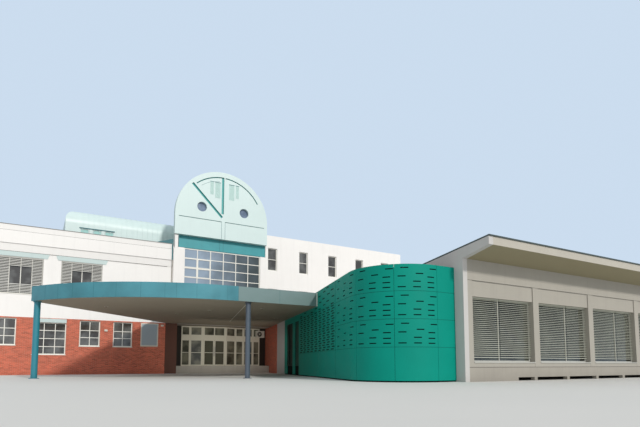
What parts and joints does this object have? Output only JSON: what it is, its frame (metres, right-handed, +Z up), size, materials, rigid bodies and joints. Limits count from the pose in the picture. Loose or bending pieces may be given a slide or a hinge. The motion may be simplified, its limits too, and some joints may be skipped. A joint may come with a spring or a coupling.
{
  "type": "medical clinic building",
  "caption": "Two-storey clinic with an arched entrance tower, curved canopy on columns, curved slotted metal screen and low pavilion.",
  "frame": {"origin": "middle of the footprint's box, on the lowest ground", "axes": "+X to the right along the main facade, +Y into the building, +Z up"},
  "size_m": [35.58, 35.1, 16.68],
  "materials": {
    "brick": "matt brickwork",
    "render_white": "painted render",
    "dark_pier": "dark brown cladding",
    "concrete": "cast concrete",
    "roofing": "mineral roofing sheet",
    "mint_metal": "satin coated sheet",
    "teal_metal": "satin coated sheet",
    "canopy_metal": "satin coated sheet",
    "soffit": "matt coated boards",
    "screen_green": "satin coated sheet",
    "frame_white": "satin coat",
    "frame_cream": "satin coat",
    "glazing": "clear",
    "dark_panel": "satin coat",
    "door_dark": "satin coat",
    "blind": "coated slats",
    "shutter": "matt coated",
    "column_steel": "satin coat",
    "pavilion_render": "painted render",
    "appliance": "satin coat"
  },
  "bodies": {
    "building": {"ground_front_wall": "brick", "entrance_pier": "dark_pier", "upper_front_wall": "render_white", "parapet_front": "render_white", "end_walls": "render_white", "back_walls": "render_white", "window_frames": "frame_white", "window_glass": "glazing", "window_lintels": "mint_metal", "closed_shutter": "shutter", "window_blinds": "blind", "ground_floors": "concrete", "upper_floors": "concrete", "flat_roofs": "roofing", "penthouse": "mint_metal", "penthouse_windows": "dark_panel", "tower_gable": "mint_metal", "porthole_glass": "glazing", "tower_band": "teal_metal", "tower_front_wall": "render_white", "curtain_wall_frame": "frame_white", "curtain_wall_glass": "glazing", "tower_side_walls": "render_white", "vault_roof": "mint_metal", "main_ground_wall": "render_white", "main_front_wall": "render_white", "entrance_screen_left": "frame_cream", "entrance_screen_right": "frame_cream", "entrance_transom": "frame_cream", "entrance_glass": "glazing", "recess_side_panels": "dark_panel", "air_conditioner": "appliance", "brick_return_wall": "brick", "plaster_wall": "render_white", "flank_wall": "concrete", "doorway_piers": "concrete", "doorway_beams": "concrete", "nose_wall": "concrete", "green_screen": "screen_green", "staff_door_sidelight": "door_dark", "link_floor": "concrete", "link_roof": "roofing", "link_wall": "render_white", "canopy_deck": "soffit", "canopy_fascia": "canopy_metal", "canopy_columns": "column_steel", "pavilion_end_walls": "pavilion_render", "pavilion_front_wall": "pavilion_render", "pavilion_back_wall": "pavilion_render", "pavilion_window_frames": "frame_white", "pavilion_window_glass": "glazing", "pavilion_base": "concrete", "pavilion_floor": "concrete", "pavilion_eave_deck": "pavilion_render", "pavilion_roof": "roofing"},
    "entrance_door_left_leaf": {"entrance_door_left": "frame_cream"},
    "entrance_door_right_leaf": {"entrance_door_right": "frame_cream"},
    "service_door_leaf": {"service_door": "door_dark"},
    "staff_door_leaf": {"staff_door": "door_dark"}
  },
  "joints": [
    {"name": "entrance_left_hinge", "type": "hinge", "parent": "building", "child": "entrance_door_left_leaf", "pos_m": [-2.542, 10.08, 0.6], "axis": [0, 0, -1], "range_deg": [0, 90]},
    {"name": "entrance_right_hinge", "type": "hinge", "parent": "building", "child": "entrance_door_right_leaf", "pos_m": [-0.798, 10.08, 0.6], "axis": [0, 0, 1], "range_deg": [0, 90]},
    {"name": "service_hinge", "type": "hinge", "parent": "building", "child": "service_door_leaf", "pos_m": [-0.24214, -2.5915, 0.6], "axis": [0, 0, 1], "range_deg": [0, 90]},
    {"name": "staff_hinge", "type": "hinge", "parent": "building", "child": "staff_door_leaf", "pos_m": [0.23667, -0.80454, 0.6], "axis": [0, 0, 1], "range_deg": [0, 90]}
  ]
}
